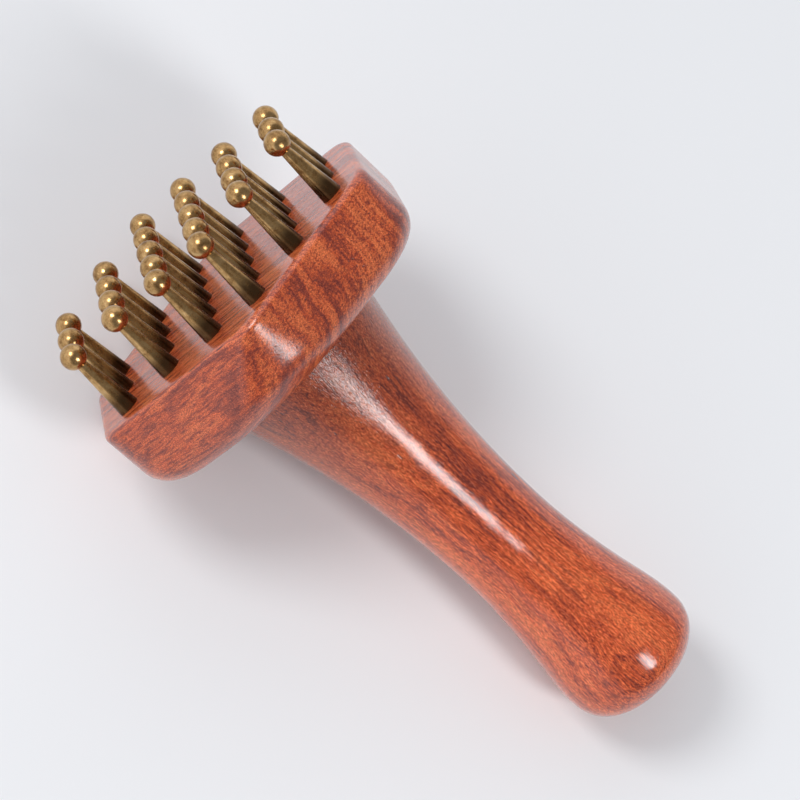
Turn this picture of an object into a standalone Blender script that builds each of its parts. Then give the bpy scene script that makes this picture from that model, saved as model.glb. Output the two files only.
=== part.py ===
"""A hand-held massage comb: a six-sided wooden head, a turned handle and ball-tipped brass pins.

Blender 4.5, metres, +Z up. Every piece is modelled in the comb's own frame: x runs along the handle
from the pin face (x = 0) to the handle's end, y along the head's long side and z across the head.
An empty then lays the whole comb on its side, as it rests on a table.
"""

import math

import bmesh
import bpy
from mathutils import Euler, Vector

MM = 0.001

# Fit between pieces that touch
GAP = 0.3 * MM

# Head: an elongated hexagon with a corner in the middle of each long side
HEAD_HALF_LENGTH = 41.7 * MM
LOWER_MID_CORNER = (0.0, -43.8 * MM)  # y and z of the corner on the side that lies on the table
LOWER_END_HALF_WIDTH = 19.7 * MM  # at the flat ends
UPPER_MID_CORNER_AT_FACE = (1.5 * MM, 45.6 * MM)  # the upper corner leans from the face to the back
UPPER_MID_CORNER_AT_BACK = (-7.0 * MM, 45.8 * MM)
UPPER_END_HALF_WIDTH = 20.4 * MM
HEAD_THICKNESS = 20.9 * MM
END_CORNER_R = (8.0 * MM, 16.0 * MM)  # at the pin face and at the back, where the corners are worn away
LOWER_MID_CORNER_R = (3.5 * MM, 30.0 * MM)
UPPER_MID_CORNER_R = (9.0 * MM, 38.0 * MM)
FACE_EDGE_R = 1.8 * MM
BACK_EDGE_R = 8.0 * MM
CORNER_STEPS = 5
FACE_EDGE_STEPS = 2
BACK_EDGE_STEPS = 5

# Pins
BALL_R = 3.0 * MM
BALL_HEIGHT = 16.9 * MM  # ball centre above the pin face
NECK_R = 1.3 * MM
STEM_R = 2.65 * MM  # at the pin face
SHANK_R = 1.5 * MM
SHANK_LENGTH = 11.0 * MM
SHANK_CHAMFER = 0.5 * MM
PIN_SEGMENTS = 12
BALL_STEPS = 6

# Rows of pins along the head: how many, and how far the row's middle stands off the centre line
ROW_PITCH = 13.1 * MM
PIN_PITCH = 15.1 * MM
ROWS = ((3, 0.5 * MM), (4, -3.0 * MM), (5, -3.5 * MM), (5, 2.5 * MM), (4, 2.0 * MM), (3, 0.5 * MM))

# Handle, by stations: distance from the pin face, radius and slope there
HANDLE_START = HEAD_THICKNESS + GAP
STATIONS = (
    (HANDLE_START, 22.5 * MM, -0.28),
    (87.5 * MM, 13.2 * MM, 0.0),
    (113.0 * MM, 15.4 * MM, 0.155),
    (128.0 * MM, 17.35 * MM, 0.0),
)
STATION_STEPS = (8, 4, 3)
END_LENGTH = 11.6 * MM  # from the bulb's widest ring to the end
END_POWER = 2.4
END_STEPS = 7
HANDLE_SEGMENTS = 40

# Hidden dowel screw: a wood thread at each end, and a plain middle
SCREW_HEAD_DEPTH = 14.0 * MM
SCREW_HANDLE_DEPTH = 30.0 * MM
SCREW_R = 4.0 * MM
SCREW_ROOT_R = 3.0 * MM
SCREW_TIP_R = 1.2 * MM
THREAD_PITCH = 4.0 * MM
PLAIN_HALF_LENGTH = 4.0 * MM
SCREW_SEGMENTS = 12

MATERIALS = {
    "wood": dict(color=(0.42, 0.11, 0.045), metallic=0.0, roughness=0.28),
    "brass": dict(color=(0.56, 0.40, 0.16), metallic=1.0, roughness=0.3),
    "steel": dict(color=(0.55, 0.56, 0.58), metallic=1.0, roughness=0.35),
}


def clear_scene():
    for obj in list(bpy.data.objects):
        bpy.data.objects.remove(obj, do_unlink=True)


def material(name):
    found = bpy.data.materials.get(name)
    if found:
        return found
    look = MATERIALS[name]
    made = bpy.data.materials.new(name)
    made.use_nodes = True
    shader = made.node_tree.nodes["Principled BSDF"]
    shader.inputs["Base Color"].default_value = (*look["color"], 1.0)
    shader.inputs["Metallic"].default_value = look["metallic"]
    shader.inputs["Roughness"].default_value = look["roughness"]
    made.diffuse_color = (*look["color"], 1.0)
    return made


def add_object(name, mesh, parent, location=(0, 0, 0)):
    obj = bpy.data.objects.new(name, mesh)
    bpy.context.scene.collection.objects.link(obj)
    obj.parent = parent
    obj.location = location
    return obj


def mesh_from(bm, name, material_name):
    """The bmesh as a mesh: outward faces, smooth except across its sharp edges."""
    bmesh.ops.recalc_face_normals(bm, faces=bm.faces)
    mesh = bpy.data.meshes.new(name)
    bm.to_mesh(mesh)
    bm.free()
    mesh.materials.append(material(material_name))
    mesh.shade_smooth()
    mesh.set_sharp_from_angle(angle=math.radians(35))
    return mesh


def lathe(profile, segments):
    """A closed body turned about the x axis. The profile is (x, radius), and starts and ends on the axis."""
    bm = bmesh.new()
    first = bm.verts.new((profile[0][0], 0, 0))
    last = bm.verts.new((profile[-1][0], 0, 0))
    turns = [math.tau * (step + 0.5) / segments for step in range(segments)]
    rings = []
    for x, radius in profile[1:-1]:
        rings.append([bm.verts.new((x, radius * math.cos(turn), radius * math.sin(turn))) for turn in turns])
    for step in range(segments):
        after = (step + 1) % segments
        bm.faces.new((first, rings[0][step], rings[0][after]))
        bm.faces.new((last, rings[-1][after], rings[-1][step]))
        for inner, outer in zip(rings, rings[1:]):
            bm.faces.new((inner[step], outer[step], outer[after], inner[after]))
    return bm


# Head


def rounded_outline(depth, inset):
    """The head's outline in y and z at this depth behind the pin face, drawn in by inset, its corners rounded."""
    share = max(depth - FACE_EDGE_R, 0) / (HEAD_THICKNESS - FACE_EDGE_R)
    corners = (
        Vector((HEAD_HALF_LENGTH, UPPER_END_HALF_WIDTH)),
        Vector(UPPER_MID_CORNER_AT_FACE).lerp(Vector(UPPER_MID_CORNER_AT_BACK), share),
        Vector((-HEAD_HALF_LENGTH, UPPER_END_HALF_WIDTH)),
        Vector((-HEAD_HALF_LENGTH, -LOWER_END_HALF_WIDTH)),
        Vector(LOWER_MID_CORNER),
        Vector((HEAD_HALF_LENGTH, -LOWER_END_HALF_WIDTH)),
    )
    end_r = END_CORNER_R[0] + (END_CORNER_R[1] - END_CORNER_R[0]) * share
    lower_r = LOWER_MID_CORNER_R[0] + (LOWER_MID_CORNER_R[1] - LOWER_MID_CORNER_R[0]) * share
    upper_r = UPPER_MID_CORNER_R[0] + (UPPER_MID_CORNER_R[1] - UPPER_MID_CORNER_R[0]) * share
    radii = (end_r, upper_r, end_r, end_r, lower_r, end_r)
    points = []
    for index, corner in enumerate(corners):
        before = (corners[index - 1] - corner).normalized()
        after = (corners[(index + 1) % 6] - corner).normalized()
        bisector = (before + after).normalized()
        half_angle = before.angle(after) / 2
        centre = corner + bisector * (radii[index] + inset) / math.sin(half_angle)
        sweep = math.pi - 2 * half_angle
        middle = math.atan2(-bisector.y, -bisector.x)
        for step in range(CORNER_STEPS + 1):
            turn = middle + sweep * (step / CORNER_STEPS - 0.5)
            points.append(centre + radii[index] * Vector((math.cos(turn), math.sin(turn))))
    return points


def head_levels():
    """(depth, inset) of each ring of the head, from the pin face to the back."""
    levels = []
    for step in range(FACE_EDGE_STEPS + 1):
        turn = math.pi / 2 * step / FACE_EDGE_STEPS
        levels.append((FACE_EDGE_R * (1 - math.cos(turn)), FACE_EDGE_R * (1 - math.sin(turn))))
    for step in range(BACK_EDGE_STEPS + 1):
        turn = math.pi / 2 * step / BACK_EDGE_STEPS
        levels.append((HEAD_THICKNESS - BACK_EDGE_R * (1 - math.sin(turn)), BACK_EDGE_R * (1 - math.cos(turn))))
    return levels


def head_body():
    bm = bmesh.new()
    rings = []
    for depth, inset in head_levels():
        rings.append([bm.verts.new((depth, *point)) for point in rounded_outline(depth, inset)])
    count = len(rings[0])
    for below, above in zip(rings, rings[1:]):
        for index in range(count):
            after = (index + 1) % count
            bm.faces.new((below[index], below[after], above[after], above[index]))
    bm.faces.new(rings[0])
    bm.faces.new(rings[-1])
    return bm


def pin_places():
    """(row, place in the row, y, z) of each pin, counting from 1."""
    for row, (count, offset) in enumerate(ROWS, start=1):
        y = (row - (len(ROWS) + 1) / 2) * ROW_PITCH
        for place in range(1, count + 1):
            yield row, place, y, offset + (place - (count + 1) / 2) * PIN_PITCH


def add_head(parent):
    mouth = 1 * MM  # how far a cutter stands out of the wood
    hole_r = SHANK_R + GAP
    hole_depth = SHANK_LENGTH + GAP
    hole = lathe([(-mouth, 0), (-mouth, hole_r), (hole_depth, hole_r), (hole_depth, 0)], PIN_SEGMENTS)
    socket_r = SCREW_R + GAP
    socket_floor = HEAD_THICKNESS - SCREW_HEAD_DEPTH - GAP
    back = HEAD_THICKNESS + mouth
    socket = lathe([(socket_floor, 0), (socket_floor, socket_r), (back, socket_r), (back, 0)], SCREW_SEGMENTS)
    head = add_object("head_block", mesh_from(head_body(), "head_block", "wood"), parent)
    hole_mesh = mesh_from(hole, "pin_hole", "wood")
    cutters = [add_object("socket_cutter", mesh_from(socket, "socket", "wood"), parent)]
    for row, place, y, z in pin_places():
        cutters.append(add_object(f"hole_cutter_{row}_{place}", hole_mesh, parent, (0, y, z)))
    group = bpy.data.collections.new("cutters")
    bpy.context.scene.collection.children.link(group)
    for cutter in cutters:
        group.objects.link(cutter)
        bpy.context.scene.collection.objects.unlink(cutter)
        cutter.hide_render = True
        cutter.display_type = "WIRE"
    cut = head.modifiers.new("holes", "BOOLEAN")
    cut.operation = "DIFFERENCE"
    cut.solver = "EXACT"
    cut.operand_type = "COLLECTION"
    cut.collection = group
    return head


# Pins


def pin_profile():
    """A pin's outline from the top of its ball to the foot of its shank, with the pin face at x = 0."""
    profile = []
    neck_turn = math.pi - math.asin(NECK_R / BALL_R)
    for step in range(BALL_STEPS + 1):
        turn = neck_turn * step / BALL_STEPS
        profile.append((-BALL_HEIGHT - BALL_R * math.cos(turn), BALL_R * math.sin(turn)))
    profile.append((-GAP, STEM_R))
    profile.append((-GAP, SHANK_R))
    profile.append((SHANK_LENGTH - SHANK_CHAMFER, SHANK_R))
    profile.append((SHANK_LENGTH, SHANK_R - SHANK_CHAMFER))
    profile.append((SHANK_LENGTH, 0))
    return profile


def add_pins(parent):
    mesh = mesh_from(lathe(pin_profile(), PIN_SEGMENTS), "pin", "brass")
    for row, place, y, z in pin_places():
        add_object(f"pin_{row}_{place}", mesh, parent, (0, y, z))


# Handle


def hermite(start, end, share):
    """The radius part of the way from one station to the next, keeping both slopes."""
    length = end[0] - start[0]
    rise = 3 * share**2 - 2 * share**3
    leave = share**3 - 2 * share**2 + share
    arrive = share**3 - share**2
    return start[1] * (1 - rise) + end[1] * rise + length * (leave * start[2] + arrive * end[2])


def handle_profile():
    """The handle's outline: up the screw's bore, across the joint, along the grip and round the bulb."""
    bore_r = SCREW_R + GAP
    bore_floor = HEAD_THICKNESS + SCREW_HANDLE_DEPTH + GAP
    profile = [(bore_floor, 0), (bore_floor, bore_r), (HANDLE_START, bore_r)]
    for start, end, steps in zip(STATIONS, STATIONS[1:], STATION_STEPS):
        for step in range(steps):
            share = step / steps
            profile.append((start[0] + (end[0] - start[0]) * share, hermite(start, end, share)))
    bulb_x, bulb_r, _ = STATIONS[-1]
    for step in range(END_STEPS + 1):
        turn = math.pi / 2 * step / END_STEPS
        along = math.sin(turn) ** (2 / END_POWER)
        across = max(math.cos(turn), 0) ** (2 / END_POWER)
        profile.append((bulb_x + END_LENGTH * along, bulb_r * across if step < END_STEPS else 0))
    return profile


def add_handle(parent):
    return add_object("handle", mesh_from(lathe(handle_profile(), HANDLE_SEGMENTS), "handle", "wood"), parent)


# Dowel screw


def threaded(tip_x, plain_x):
    """The outline of one threaded end, from its tip to the plain middle."""
    direction = 1 if plain_x > tip_x else -1
    points = [(tip_x, 0), (tip_x, SCREW_TIP_R), (tip_x + direction * THREAD_PITCH, SCREW_ROOT_R)]
    turns = int((abs(plain_x - tip_x) - THREAD_PITCH) / THREAD_PITCH)
    for turn in range(turns):
        start = tip_x + direction * THREAD_PITCH * (turn + 1)
        points.append((start + direction * THREAD_PITCH * 0.5, SCREW_R))
        points.append((start + direction * THREAD_PITCH, SCREW_ROOT_R))
    return points


def add_dowel_screw(parent):
    joint = HEAD_THICKNESS + GAP / 2
    head_end = threaded(HEAD_THICKNESS - SCREW_HEAD_DEPTH, joint - PLAIN_HALF_LENGTH)
    handle_end = threaded(HEAD_THICKNESS + SCREW_HANDLE_DEPTH, joint + PLAIN_HALF_LENGTH)
    profile = head_end + handle_end[::-1]
    return add_object("dowel_screw", mesh_from(lathe(profile, SCREW_SEGMENTS), "dowel_screw", "steel"), parent)


# Rest pose: on one half of a long side and on the bulb


def outer_points():
    """Points all over the outside of the head and the handle, in the comb's own frame."""
    points = []
    for depth, inset in head_levels():
        points.extend(Vector((depth, *point)) for point in rounded_outline(depth, inset))
    turns = [math.tau * (step + 0.5) / HANDLE_SEGMENTS for step in range(HANDLE_SEGMENTS)]
    for x, radius in handle_profile()[3:]:
        points.extend(Vector((x, radius * math.cos(turn), radius * math.sin(turn))) for turn in turns)
    return points


def rest_rotation(points):
    """The turn that lays a half side of the head and the bulb on one level."""
    roll = math.atan2(-LOWER_MID_CORNER[1] - LOWER_END_HALF_WIDTH, HEAD_HALF_LENGTH)
    head = [point for point in points if point.x <= HEAD_THICKNESS]
    handle = [point for point in points if point.x > HEAD_THICKNESS]
    low, high = 0.0, math.radians(30)
    for _ in range(40):
        tilt = (low + high) / 2
        turned = Euler((roll, tilt, 0)).to_matrix()
        head_low = min((turned @ point).z for point in head)
        handle_low = min((turned @ point).z for point in handle)
        if handle_low > head_low:
            low = tilt
        else:
            high = tilt
    return Euler((roll, (low + high) / 2, 0))


def place_on_table(frame):
    """Turns the comb into its rest pose, with its box centred over the origin and its lowest point at z = 0."""
    points = outer_points()
    points.extend(Vector((-BALL_HEIGHT - BALL_R, y, z)) for _, _, y, z in pin_places())
    frame.rotation_euler = rest_rotation(points)
    turned = [frame.rotation_euler.to_matrix() @ point for point in points]
    lowest = Vector([min(point[axis] for point in turned) for axis in range(3)])
    highest = Vector([max(point[axis] for point in turned) for axis in range(3)])
    middle = (lowest + highest) / 2
    frame.location = (-middle.x, -middle.y, -lowest.z)


def main():
    clear_scene()
    frame = add_object("comb_frame", None, None)
    add_head(frame)
    add_handle(frame)
    add_dowel_screw(frame)
    add_pins(frame)
    place_on_table(frame)
    bpy.context.view_layer.update()


main()
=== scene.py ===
"""The looks of a hand-held massage comb: a lacquered wooden head and handle with ball-tipped brass pins.

Every piece is shaped in the comb's own frame, as the CAD is, and then turned to lie on the table. In that
frame x runs along the handle from the pin face (x = 0) to the handle's end, y along the head from one flat
end to the other, and z across it. Blender 4.5, metres.
"""

import math

import bmesh
import bpy
from mathutils import Euler, Matrix, Vector


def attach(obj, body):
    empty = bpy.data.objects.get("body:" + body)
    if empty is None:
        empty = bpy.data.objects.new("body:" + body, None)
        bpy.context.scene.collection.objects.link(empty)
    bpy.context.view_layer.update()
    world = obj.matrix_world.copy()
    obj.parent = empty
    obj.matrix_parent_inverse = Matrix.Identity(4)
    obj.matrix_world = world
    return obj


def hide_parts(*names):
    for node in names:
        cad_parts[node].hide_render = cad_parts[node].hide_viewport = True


MM = 0.001
BODY = "root"
SHARP_ANGLE = math.radians(40)  # edges that turn more than this are not smoothed

# How the comb lies on the table, as in the CAD
COMB_ORIGIN = Vector((-0.0564126, 0.0001815, 0.0396375))
COMB_TURN = Euler((math.radians(30.02523), math.radians(10.0506), 0))

# Head: an elongated hexagon with a corner in the middle of each long side
HEAD_HALF_LENGTH = 41.7 * MM
LOWER_MID_CORNER = (0.0, -43.8 * MM)  # y and z, and the same for the upper corner
LOWER_END_HALF_WIDTH = 19.7 * MM  # at the flat ends, below the handle's axis
UPPER_MID_CORNER_AT_FACE = (1.5 * MM, 45.6 * MM)  # the upper corner leans from the face to the back
UPPER_MID_CORNER_AT_BACK = (-7.0 * MM, 45.8 * MM)
UPPER_END_HALF_WIDTH = 20.4 * MM  # at the flat ends, above the axis
HEAD_THICKNESS = 20.9 * MM
END_CORNER_R = (8.0 * MM, 16.0 * MM)  # at the pin face and at the back, where the corners are worn away
LOWER_MID_CORNER_R = (3.5 * MM, 30.0 * MM)
UPPER_MID_CORNER_R = (9.0 * MM, 38.0 * MM)
FACE_EDGE_R = 1.8 * MM
BACK_EDGE_R = 8.0 * MM
FACE_INSETS = (12 * MM, 6 * MM, 3 * MM)  # rings of vertices on the flat pin face
SIDE_SHARES = (0.1, 0.25, 0.4, 0.55, 0.7, 0.85, 0.95)  # rings between the face's edge and the back's
CORNER_STEPS = 16
SIDE_STEPS = 12
FACE_EDGE_STEPS = 8
BACK_EDGE_STEPS = 14

# Pins
BALL_R = 3.0 * MM
BALL_HEIGHT = 16.9 * MM  # ball centre above the pin face
NECK_R = 1.3 * MM
STEM_R = 2.65 * MM
PIN_SINK = 0.4 * MM  # how far the visible pin goes into the wood
PIN_SEGMENTS = 48
BALL_STEPS = 24
STEM_STEPS = 8

# Rows of pins along the head: how many pins, and how far the row's middle stands off the centre line
ROW_PITCH = 13.1 * MM
PIN_PITCH = 15.1 * MM
ROWS = ((3, 0.5 * MM), (4, -3.0 * MM), (5, -3.5 * MM), (5, 2.5 * MM), (4, 2.0 * MM), (3, 0.5 * MM))

# Handle, by stations: distance from the pin face, radius and slope there. The rounded end starts at the last.
STATIONS = (
    (21.2 * MM, 22.5 * MM, -0.28),
    (87.5 * MM, 13.2 * MM, 0.0),
    (113.0 * MM, 15.4 * MM, 0.155),
    (128.0 * MM, 17.35 * MM, 0.0),
)
STATION_STEPS = (48, 20, 14)
JOINT_CHAMFER = 0.35 * MM  # the fine line where the handle meets the head
HANDLE_SINK = 0.05 * MM  # how far the visible handle goes into the head
END_LENGTH = 11.6 * MM
END_POWER = 2.4  # 2 would be an ellipse, and more is fuller
END_STEPS = 28
HANDLE_SEGMENTS = 120

# Camera
CAMERA_LOCATION = (-0.09417, -0.34752, 0.85679)
CAMERA_TURN = (math.radians(15.658), math.radians(-18.314), math.radians(34.702))
CAMERA_LENS = 177.34  # millimetres
SENSOR_WIDTH = 36

# Lights: direction from the comb, the way the length runs, length and width in metres, and watts
LIGHT_DISTANCE = 1.3
LIGHTS = {
    "key_light": dict(
        toward=(-0.61, -0.18, 0.78),
        along=(0, 1, 0),
        size=(0.44, 0.44),
        power=5.7,
    ),
    "strip_light": dict(
        toward=(0.65, -0.168, 0.74),
        along=(-0.386, -0.091, 0.33),
        size=(0.68, 0.27),
        power=5.5,
    ),
}

# The studio is pale all round, and darker towards one direction: (how far towards it, colour)
DARK_SIDE = (0.6, 0.0, 0.8)
SKY = ((0.22, (1.02, 1.02, 1.06)), (0.52, (0.27, 0.27, 0.28)))

FLOOR_SIZE = 8.0
FLOOR_PARTS = 4  # faces along each side
FLOOR_COLOR = (0.870, 0.890, 0.912)
FLOOR_CLOUDS = 0.985  # the darkest part of its faint unevenness, as a share


# Meshes


def mesh_object(bm, name, material):
    """The bmesh, given in the comb's frame, as an object in the row's frame."""
    bmesh.ops.recalc_face_normals(bm, faces=bm.faces)
    bm.transform(Matrix.LocRotScale(COMB_ORIGIN, COMB_TURN, None))
    mesh = bpy.data.meshes.new(name)
    bm.to_mesh(mesh)
    bm.free()
    mesh.materials.append(material)
    mesh.shade_smooth()
    mesh.set_sharp_from_angle(angle=SHARP_ANGLE)
    obj = bpy.data.objects.new(name, mesh)
    bpy.context.scene.collection.objects.link(obj)
    return obj


def lathe(profile, segments, offset=(0, 0)):
    """A closed body turned about a line along x, which passes through y and z of the offset.

    The profile is (x, radius) of each ring, and starts and ends on the line.
    """
    bm = bmesh.new()
    first = bm.verts.new((profile[0][0], *offset))
    last = bm.verts.new((profile[-1][0], *offset))
    turns = [math.tau * (step + 0.5) / segments for step in range(segments)]
    rings = []
    for x, radius in profile[1:-1]:
        ring = []
        for turn in turns:
            y = offset[0] + radius * math.cos(turn)
            z = offset[1] + radius * math.sin(turn)
            ring.append(bm.verts.new((x, y, z)))
        rings.append(ring)
    for step in range(segments):
        after = (step + 1) % segments
        bm.faces.new((first, rings[0][step], rings[0][after]))
        bm.faces.new((last, rings[-1][after], rings[-1][step]))
        for inner, outer in zip(rings, rings[1:]):
            bm.faces.new((inner[step], outer[step], outer[after], inner[after]))
    return bm


def between(ends, share):
    """The number part of the way from the first end to the second."""
    return ends[0] + (ends[1] - ends[0]) * share


def rounded_outline(depth, inset):
    """The head's outline in y and z at this depth behind the pin face, drawn in by inset.

    Each corner is an arc, and the straight sides are cut into SIDE_STEPS.
    """
    share = max(depth - FACE_EDGE_R, 0) / (HEAD_THICKNESS - FACE_EDGE_R)
    corners = (
        Vector((HEAD_HALF_LENGTH, UPPER_END_HALF_WIDTH)),
        Vector(UPPER_MID_CORNER_AT_FACE).lerp(Vector(UPPER_MID_CORNER_AT_BACK), share),
        Vector((-HEAD_HALF_LENGTH, UPPER_END_HALF_WIDTH)),
        Vector((-HEAD_HALF_LENGTH, -LOWER_END_HALF_WIDTH)),
        Vector(LOWER_MID_CORNER),
        Vector((HEAD_HALF_LENGTH, -LOWER_END_HALF_WIDTH)),
    )
    end_r = between(END_CORNER_R, share)
    lower_r = between(LOWER_MID_CORNER_R, share)
    upper_r = between(UPPER_MID_CORNER_R, share)
    radii = (end_r, upper_r, end_r, end_r, lower_r, end_r)
    arcs = []
    for index, corner in enumerate(corners):
        before = (corners[index - 1] - corner).normalized()
        after = (corners[(index + 1) % len(corners)] - corner).normalized()
        bisector = (before + after).normalized()
        half_angle = before.angle(after) / 2
        centre = corner + bisector * (radii[index] + inset) / math.sin(half_angle)
        sweep = math.pi - 2 * half_angle
        middle = math.atan2(-bisector.y, -bisector.x)
        turns = [middle + sweep * (step / CORNER_STEPS - 0.5) for step in range(CORNER_STEPS + 1)]
        arcs.append([centre + radii[index] * Vector((math.cos(turn), math.sin(turn))) for turn in turns])
    points = []
    for arc, following in zip(arcs, arcs[1:] + arcs[:1]):
        points.extend(arc)
        points.extend(arc[-1].lerp(following[0], step / SIDE_STEPS) for step in range(1, SIDE_STEPS))
    return points


def head_levels():
    """(depth, inset) of each ring of the head, from the pin face to the back."""
    levels = [(0, inset) for inset in FACE_INSETS]
    for step in range(FACE_EDGE_STEPS + 1):
        turn = math.pi / 2 * step / FACE_EDGE_STEPS
        levels.append((FACE_EDGE_R * (1 - math.cos(turn)), FACE_EDGE_R * (1 - math.sin(turn))))
    flat = HEAD_THICKNESS - BACK_EDGE_R - FACE_EDGE_R
    levels.extend((FACE_EDGE_R + flat * share, 0) for share in SIDE_SHARES)
    for step in range(BACK_EDGE_STEPS + 1):
        turn = math.pi / 2 * step / BACK_EDGE_STEPS
        depth = HEAD_THICKNESS - BACK_EDGE_R * (1 - math.sin(turn))
        levels.append((depth, BACK_EDGE_R * (1 - math.cos(turn))))
    return levels


def add_head(material):
    """The head as one closed body, its rings joined from the pin face to the back."""
    bm = bmesh.new()
    rings = []
    for depth, inset in head_levels():
        rings.append([bm.verts.new((depth, *point)) for point in rounded_outline(depth, inset)])
    count = len(rings[0])
    for below, above in zip(rings, rings[1:]):
        for index in range(count):
            after = (index + 1) % count
            bm.faces.new((below[index], below[after], above[after], above[index]))
    bm.faces.new(rings[0])
    bm.faces.new(rings[-1])
    return mesh_object(bm, "head_wood", material)


def hermite(start, end, share):
    """The radius part of the way from one station to the next, keeping both slopes."""
    length = end[0] - start[0]
    rise = 3 * share**2 - 2 * share**3
    leave = share**3 - 2 * share**2 + share
    arrive = share**3 - share**2
    return start[1] * (1 - rise) + end[1] * rise + length * (leave * start[2] + arrive * end[2])


def handle_profile():
    """The handle's outline from its joint with the head to the tip of its rounded end."""
    foot_x = HEAD_THICKNESS - HANDLE_SINK
    profile = [(foot_x, 0), (foot_x, STATIONS[0][1] - JOINT_CHAMFER)]
    for start, end, steps in zip(STATIONS, STATIONS[1:], STATION_STEPS):
        for step in range(steps):
            share = step / steps
            profile.append((start[0] + (end[0] - start[0]) * share, hermite(start, end, share)))
    bulb_x, bulb_r, _ = STATIONS[-1]
    for step in range(END_STEPS + 1):
        turn = math.pi / 2 * step / END_STEPS
        along = math.sin(turn) ** (2 / END_POWER)
        across = max(math.cos(turn), 0) ** (2 / END_POWER)
        profile.append((bulb_x + END_LENGTH * along, bulb_r * across if step < END_STEPS else 0))
    return profile


def pin_places():
    """(row, place in the row, y, z) of each pin, counting from 1."""
    for row, (count, offset) in enumerate(ROWS, start=1):
        y = (row - (len(ROWS) + 1) / 2) * ROW_PITCH
        for place in range(1, count + 1):
            yield row, place, y, offset + (place - (count + 1) / 2) * PIN_PITCH


def pin_profile():
    """A pin's outline from the top of its ball to just inside the wood."""
    profile = []
    neck_turn = math.pi - math.asin(NECK_R / BALL_R)
    for step in range(BALL_STEPS + 1):
        turn = neck_turn * step / BALL_STEPS
        profile.append((-BALL_HEIGHT - BALL_R * math.cos(turn), BALL_R * math.sin(turn)))
    neck_x = profile[-1][0]
    for step in range(1, STEM_STEPS + 1):
        share = step / STEM_STEPS
        profile.append((neck_x * (1 - share), NECK_R + (STEM_R - NECK_R) * share))
    profile.append((PIN_SINK, STEM_R))
    profile.append((PIN_SINK, 0))
    return profile


# Materials


class Nodes:
    """A short way to build one material's node tree. An input is another node's output or a plain value."""

    def __init__(self, name):
        self.material = bpy.data.materials.new(name)
        self.material.use_nodes = True
        self.tree = self.material.node_tree
        self.shader = self.tree.nodes["Principled BSDF"]

    def plug(self, socket, value):
        if isinstance(value, bpy.types.NodeSocket):
            self.tree.links.new(value, socket)
        else:
            socket.default_value = value

    def add(self, kind, inputs=None, **settings):
        node = self.tree.nodes.new("ShaderNode" + kind)
        for key, value in settings.items():
            setattr(node, key, value)
        for key, value in (inputs or {}).items():
            self.plug(node.inputs[key], value)
        return node

    def math(self, operation, a, b):
        return self.add("Math", {0: a, 1: b}, operation=operation).outputs[0]

    def stretch(self, vector, scale):
        return self.add("VectorMath", {0: vector, 1: scale}, operation="MULTIPLY").outputs[0]

    def noise(self, vector, scale, detail, roughness=0.5):
        inputs = {"Vector": vector, "Scale": scale, "Detail": detail, "Roughness": roughness}
        return self.add("TexNoise", inputs).outputs["Fac"]

    def rescale(self, value, low, high, to_low=0.0, to_high=1.0):
        """The value eased from low and high to to_low and to_high, and held there outside them."""
        inputs = {"Value": value, "From Min": low, "From Max": high, "To Min": to_low, "To Max": to_high}
        return self.add("MapRange", inputs, interpolation_type="SMOOTHSTEP").outputs["Result"]

    def weighted(self, *parts):
        """The sum of each value times its weight."""
        total = None
        for value, weight in parts:
            term = self.math("MULTIPLY", value, weight)
            total = term if total is None else self.math("ADD", total, term)
        return total

    def about_zero(self, value):
        """A noise value moved so that its middle is zero."""
        return self.math("SUBTRACT", value, 0.5)

    def grey(self, value):
        return self.add("CombineColor", {0: value, 1: value, 2: value}).outputs[0]

    def mix(self, share, a, b, blend="MIX"):
        node = self.add("Mix", data_type="RGBA", blend_type=blend)
        for index, value in ((0, share), (6, a), (7, b)):  # the sockets of a colour mix
            self.plug(node.inputs[index], value)
        return node.outputs[2]

    def ramp(self, value, stops):
        node = self.add("ValToRGB", {"Fac": value})
        elements = node.color_ramp.elements
        while len(elements) < len(stops):
            elements.new(0.5)
        for element, (place, color) in zip(elements, stops):
            element.position = place
            element.color = (*color, 1)
        return node.outputs["Color"]

    def bump(self, height, distance, strength=1.0, normal=None):
        inputs = {"Height": height, "Distance": distance, "Strength": strength}
        if normal:
            inputs["Normal"] = normal
        return self.add("Bump", inputs).outputs["Normal"]

    def finish(self, **inputs):
        """The material, with these inputs on its shader. An underscore stands for a space in a name."""
        for key, value in inputs.items():
            self.plug(self.shader.inputs[key.replace("_", " ")], value)
        return self.material


def grain_turn(about_x, about_z):
    """The turn of a block's grain in the comb's frame, in degrees: first about z, then about x."""
    first = Matrix.Rotation(math.radians(about_z), 3, "Z")
    return Matrix.Rotation(math.radians(about_x), 3, "X") @ first


def place_in(nodes, turn=None):
    """Coordinates in the comb's frame, or in a frame turned from it, in millimetres."""
    whole = COMB_TURN.to_matrix() @ (turn or Matrix.Identity(3))
    where = nodes.add("TexCoord").outputs["Object"]
    inputs = {"Vector": where, "Location": COMB_ORIGIN, "Rotation": whole.to_euler(), "Scale": (MM, MM, MM)}
    return nodes.add("Mapping", inputs, vector_type="TEXTURE").outputs["Vector"]


# The features of the wood: how many noise cells there are to the millimetre across the grain
WARP_SCALE = 0.07  # slow bends of the grain
PATCH_SCALE = 0.07  # broad paler and darker patches
RING_SCALE = 0.55  # growth layers
VEIN_SCALE = 0.75  # dark veins
FIBRE_SCALE = 1.9
CELL_SCALE = 1.9  # small dark spots
GRIT_SCALE = 5.2  # the finest unevenness
PORE_SCALE = 0.85
PORE_PATCH_SCALE = 0.22  # where the pores come
LINE_SCALE = 3.4  # fine ridges of the open grain
WAVE_SCALE = 0.10  # slow waves in the lacquer

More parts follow.
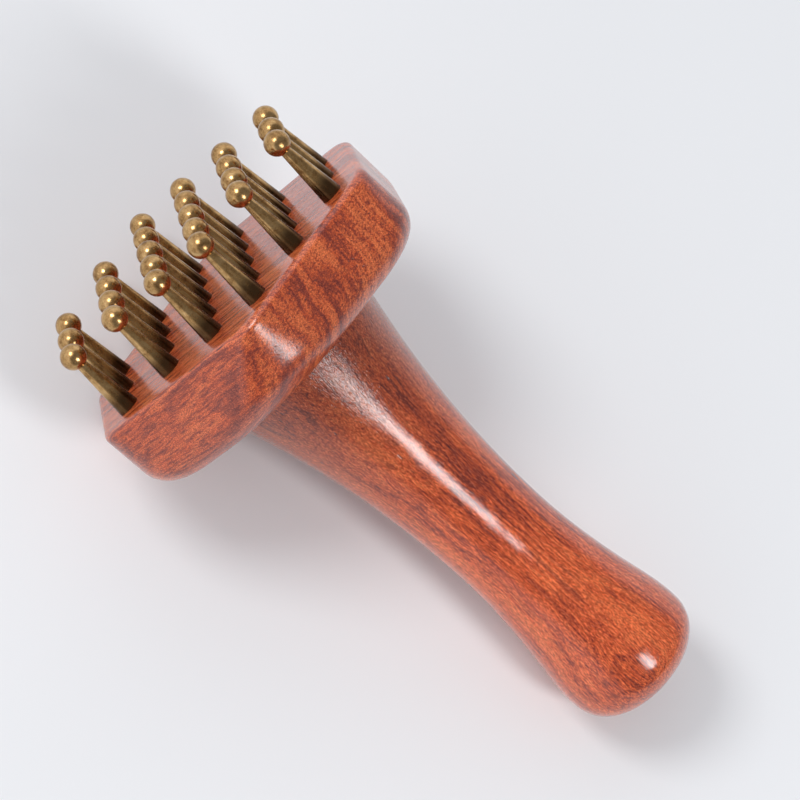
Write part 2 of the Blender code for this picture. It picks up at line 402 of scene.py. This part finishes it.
GRAIN_DEPTH = 0.11 * MM
WAVE_DEPTH = 0.6 * MM
PAINTED_SHADE_REACH = (20, 85)  # between these the handle's painted shade from the head fades out, in millimetres from the pin face
OPEN_GRAIN_REACH = (26, 52)  # and between these its open grain closes up
WOOD_PORE = (0.045, 0.008, 0.006, 1)
WOOD_FLECK = (0.85, 0.34, 0.17, 1)

# Each block of wood: the turn of its grain and its three tones, and then
#   layers: the share of growth layers in its tone, the rest being fibres
#   wander: how far the grain bends, in millimetres
#   spots: how strong the small dark spots are
#   squash: how short the grit is along the grain, where 1 is round
#   bump: how strong the relief is
#   gloss: the roughness of the lacquer
#   painted_head_shade: how dark the painted shade is at the head's end of the handle, where the head shades
#       it
HEAD_WOOD = dict(
    name="head_lacquer",
    turn=grain_turn(30, 90),
    light=(0.72, 0.155, 0.042),
    middle=(0.54, 0.075, 0.014),
    dark=(0.19, 0.017, 0.007),
    layers=0.75,
    wander=5,
    spots=0.80,
    squash=0.55,
    bump=0.5,
    gloss=0.19,
    painted_head_shade=1.0,
)
HANDLE_WOOD = dict(
    name="handle_lacquer",
    turn=grain_turn(0, 0),
    light=(0.80, 0.165, 0.045),
    middle=(0.63, 0.084, 0.015),
    dark=(0.22, 0.022, 0.007),
    layers=0.25,
    wander=7,
    spots=0.22,
    squash=0.16,
    bump=1.0,
    gloss=0.075,
    painted_head_shade=0.58,
)


def bent_grain(n, at, wander):
    """The place in the wood, moved about slowly so that the grain isn't straight."""
    bends = n.add("TexNoise", {"Vector": n.stretch(at, (0.35, 1, 1)), "Scale": WARP_SCALE, "Detail": 3.0})
    half = (0.5, 0.5, 0.5)
    shift = n.add("VectorMath", {0: bends.outputs["Color"], 1: half}, operation="SUBTRACT").outputs[0]
    move = n.stretch(shift, (wander, wander, wander))
    return n.add("VectorMath", {0: at, 1: move}, operation="ADD").outputs[0]


def wood_color(n, at, along, look):
    """The wood's colour and its fibres: a tone of three noises, then spots, veins, grit with painted shade
    towards the head, and pale flecks.
    """
    bent = bent_grain(n, at, look["wander"])
    rings = n.noise(n.stretch(bent, (0.02, 0.10, 1)), RING_SCALE, 4, 0.65)
    patches = n.noise(n.stretch(bent, (0.25, 1, 1)), PATCH_SCALE, 2)
    fibres = n.noise(n.stretch(bent, (0.025, 1, 1)), FIBRE_SCALE, 4, 0.7)
    veins = n.noise(n.stretch(bent, (0.02, 0.7, 1)), VEIN_SCALE, 3, 0.55)
    cells = n.noise(n.stretch(at, (0.15, 1, 1)), CELL_SCALE, 3, 0.6)
    grit = n.noise(n.stretch(at, (look["squash"], 1, 1)), GRIT_SCALE, 2, 0.8)

    layers = look["layers"]
    tone = n.weighted((rings, layers), (fibres, 1 - layers), (n.about_zero(patches), 0.35))
    color = n.ramp(tone, ((0.38, look["dark"]), (0.47, look["middle"]), (0.60, look["light"])))

    dark = (*look["dark"], 1)
    spotted = n.rescale(n.weighted((cells, 1.0), (n.about_zero(rings), -0.5)), 0.46, 0.62)
    color = n.mix(n.math("MULTIPLY", spotted, look["spots"]), color, dark)
    color = n.mix(n.rescale(veins, 0.58, 0.68, 0.0, 0.65), color, dark)

    # painted shade: the handle darkens towards the head, where the head shades it; the grit is the wood's own
    painted_head_shade = n.rescale(along, *PAINTED_SHADE_REACH, look["painted_head_shade"], 1.0)
    grit_and_painted_shade = n.math("MULTIPLY", n.rescale(grit, 0.32, 0.68, 0.38, 1.45), painted_head_shade)
    color = n.mix(1.0, color, n.grey(grit_and_painted_shade), "MULTIPLY")
    return n.mix(n.rescale(grit, 0.52, 0.70, 0.0, 0.24), color, WOOD_FLECK), fibres


def wood_pores(n, at):
    """1 in the short open pores that run along the grain, in patches, and 0 between them."""
    dashes = n.add("TexVoronoi", {"Vector": n.stretch(at, (0.14, 1, 1)), "Scale": PORE_SCALE})
    chosen = n.rescale(n.noise(n.stretch(at, (0.1, 1, 1)), PORE_PATCH_SCALE, 2), 0.50, 0.62)
    return n.math("MULTIPLY", n.rescale(dashes.outputs["Distance"], 0.09, 0.20, 1.0, 0.0), chosen)


def wood(look):
    """Lacquered red wood. Its grain runs along x of the turned frame, and its growth layers lie across z."""
    n = Nodes(look["name"])
    at = place_in(n, look["turn"])
    along = n.add("SeparateXYZ", {0: place_in(n)}).outputs["X"]
    color, fibres = wood_color(n, at, along, look)
    pores = wood_pores(n, at)
    color = n.mix(n.math("MULTIPLY", pores, 0.9), color, WOOD_PORE)

    lines = n.noise(n.stretch(at, (0.06, 1, 1)), LINE_SCALE, 2, 0.6)
    height = n.math("SUBTRACT", lines, n.math("MULTIPLY", pores, 1.2))
    open_grain = n.rescale(along, *OPEN_GRAIN_REACH, 0.75, 0.30)
    normal = n.bump(height, GRAIN_DEPTH, n.math("MULTIPLY", open_grain, look["bump"]))
    normal = n.bump(n.noise(at, WAVE_SCALE, 1), WAVE_DEPTH, 0.4, normal)
    return n.finish(
        Base_Color=color,
        Roughness=n.rescale(fibres, 0.3, 0.7, 0.45, 0.60),
        Normal=normal,
        IOR=1.45,
        Specular_IOR_Level=0.12,
        Coat_Weight=1.0,
        Coat_Roughness=look["gloss"],
        Coat_IOR=1.65,
        Coat_Normal=normal,
    )


METAL_DEPTH = 0.02 * MM
BRASS_TONES = ((0.38, (0.22, 0.115, 0.042)), (0.50, (0.46, 0.275, 0.110)), (0.62, (0.64, 0.42, 0.195)))
# the colour of the painted shade at the pins' feet
BRASS_PAINTED_FOOT_SHADE = (0.075, 0.035, 0.015, 1)
PAINTED_FOOT_SHADE_REACH = (-5.0, -0.5)  # between these the painted shade darkens the pin's foot, in millimetres from the pin face
STEEL_TONES = ((0.35, (0.42, 0.43, 0.45)), (0.65, (0.66, 0.67, 0.68)))


def brass():
    """Satin brass with handling marks, faint turning streaks and painted shade on the foot, standing in for
    the dark wood it reflects.
    """
    n = Nodes("pin_brass")
    at = place_in(n)
    smudges = n.noise(at, 0.50, 4, 0.65)
    streaks = n.noise(n.stretch(at, (0.10, 1, 1)), 3.0, 3, 0.6)
    specks = n.noise(at, 3.2, 3, 0.7)
    color = n.ramp(n.weighted((smudges, 0.55), (streaks, 0.15), (specks, 0.30)), BRASS_TONES)
    along = n.add("SeparateXYZ", {0: at}).outputs["X"]
    # painted shade: the pin darkens towards its foot, standing in for the dark reflection of the shaded wood
    # there
    foot = n.rescale(n.weighted((along, 1.0), (smudges, 4.0)), *PAINTED_FOOT_SHADE_REACH, 0.0, 0.92)
    color = n.mix(foot, color, BRASS_PAINTED_FOOT_SHADE)
    rough = n.rescale(smudges, 0.30, 0.70, 0.31, 0.17)
    normal = n.bump(n.weighted((specks, 1.0), (streaks, 0.5)), METAL_DEPTH, 0.7)
    return n.finish(Base_Color=color, Metallic=1.0, Roughness=rough, Normal=normal)


def steel():
    """Zinc-plated steel with a fine drawn texture, for the hidden dowel screw."""
    n = Nodes("screw_steel")
    at = place_in(n)
    drawn = n.noise(n.stretch(at, (2.5, 0.4, 0.4)), 1.5, 3, 0.6)
    dull = n.noise(at, 0.35, 3)
    color = n.ramp(dull, STEEL_TONES)
    rough = n.rescale(dull, 0.3, 0.7, 0.42, 0.28)
    normal = n.bump(drawn, METAL_DEPTH, 0.6)
    return n.finish(Base_Color=color, Metallic=1.0, Roughness=rough, Normal=normal)


def floor_material():
    """A plain pale floor, very faintly uneven."""
    n = Nodes("pale_floor")
    clouds = n.noise(n.add("TexCoord").outputs["Object"], 6.0, 3)
    low = tuple(FLOOR_CLOUDS * part for part in FLOOR_COLOR)
    return n.finish(Base_Color=n.ramp(clouds, ((0.3, low), (0.7, FLOOR_COLOR))), Roughness=0.55)


# Stage


def add_floor():
    bm = bmesh.new()
    bmesh.ops.create_grid(bm, x_segments=FLOOR_PARTS, y_segments=FLOOR_PARTS, size=FLOOR_SIZE / 2)
    mesh = bpy.data.meshes.new("floor")
    bm.to_mesh(mesh)
    bm.free()
    mesh.materials.append(floor_material())
    floor = bpy.data.objects.new("floor", mesh)
    bpy.context.scene.collection.objects.link(floor)


def add_lights():
    """Soft lights that face the comb, each with its length turned as LIGHTS says."""
    for name, look in LIGHTS.items():
        lamp = bpy.data.lights.new(name, "AREA")
        lamp.shape = "ELLIPSE"
        lamp.size, lamp.size_y = look["size"]
        lamp.energy = look["power"]
        obj = bpy.data.objects.new(name, lamp)
        bpy.context.scene.collection.objects.link(obj)
        direction = Vector(look["toward"]).normalized()
        across = direction.cross(Vector(look["along"])).normalized()
        obj.location = direction * LIGHT_DISTANCE
        obj.rotation_euler = Matrix((across.cross(direction), across, direction)).transposed().to_euler()


def add_studio():
    """The light of the room: SKY, by how far a direction goes towards DARK_SIDE."""
    world = bpy.data.worlds.new("studio")
    world.use_nodes = True
    nodes = world.node_tree.nodes
    darkness = nodes.new("ShaderNodeVectorMath")
    darkness.operation = "DOT_PRODUCT"
    darkness.inputs[1].default_value = DARK_SIDE
    ramp = nodes.new("ShaderNodeValToRGB")
    for element, (place, color) in zip(ramp.color_ramp.elements, SKY):
        element.position = place
        element.color = (*color, 1)
    link = world.node_tree.links.new
    link(nodes.new("ShaderNodeTexCoord").outputs["Generated"], darkness.inputs[0])
    link(darkness.outputs["Value"], ramp.inputs["Fac"])
    link(ramp.outputs["Color"], nodes["Background"].inputs["Color"])
    bpy.context.scene.world = world


def add_camera():
    camera = bpy.data.objects.new("camera", bpy.data.cameras.new("camera"))
    bpy.context.scene.collection.objects.link(camera)
    camera.location = CAMERA_LOCATION
    camera.rotation_euler = CAMERA_TURN
    camera.data.lens = CAMERA_LENS
    camera.data.sensor_width = SENSOR_WIDTH
    bpy.context.scene.camera = camera


# Pieces


def settle(piece, node):
    """The piece stands for this CAD node, whose mesh is hidden, and rides on the comb's one body."""
    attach(piece, BODY)
    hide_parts(node)


def add_wooden_parts():
    settle(add_head(wood(HEAD_WOOD)), "head_block")
    handle = mesh_object(lathe(handle_profile(), HANDLE_SEGMENTS), "handle_wood", wood(HANDLE_WOOD))
    settle(handle, "handle")


def add_pins():
    look = brass()
    for row, place, y, z in pin_places():
        pin = mesh_object(lathe(pin_profile(), PIN_SEGMENTS, (y, z)), f"brass_pin_{row}_{place}", look)
        settle(pin, f"pin_{row}_{place}")


def finish_screw(screw):
    """The dowel screw is hidden, so it keeps its CAD mesh and only gets its material."""
    screw.data.materials.clear()
    screw.data.materials.append(steel())


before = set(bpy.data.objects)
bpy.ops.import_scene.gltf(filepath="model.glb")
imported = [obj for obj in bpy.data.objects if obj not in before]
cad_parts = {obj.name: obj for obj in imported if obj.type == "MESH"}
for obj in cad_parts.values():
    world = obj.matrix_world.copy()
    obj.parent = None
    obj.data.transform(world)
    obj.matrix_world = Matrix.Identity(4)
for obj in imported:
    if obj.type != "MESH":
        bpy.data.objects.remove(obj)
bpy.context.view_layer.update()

add_camera()
add_lights()
add_studio()
add_floor()
bpy.context.scene.view_settings.view_transform = "Standard"

add_wooden_parts()
add_pins()
finish_screw(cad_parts["dowel_screw"])
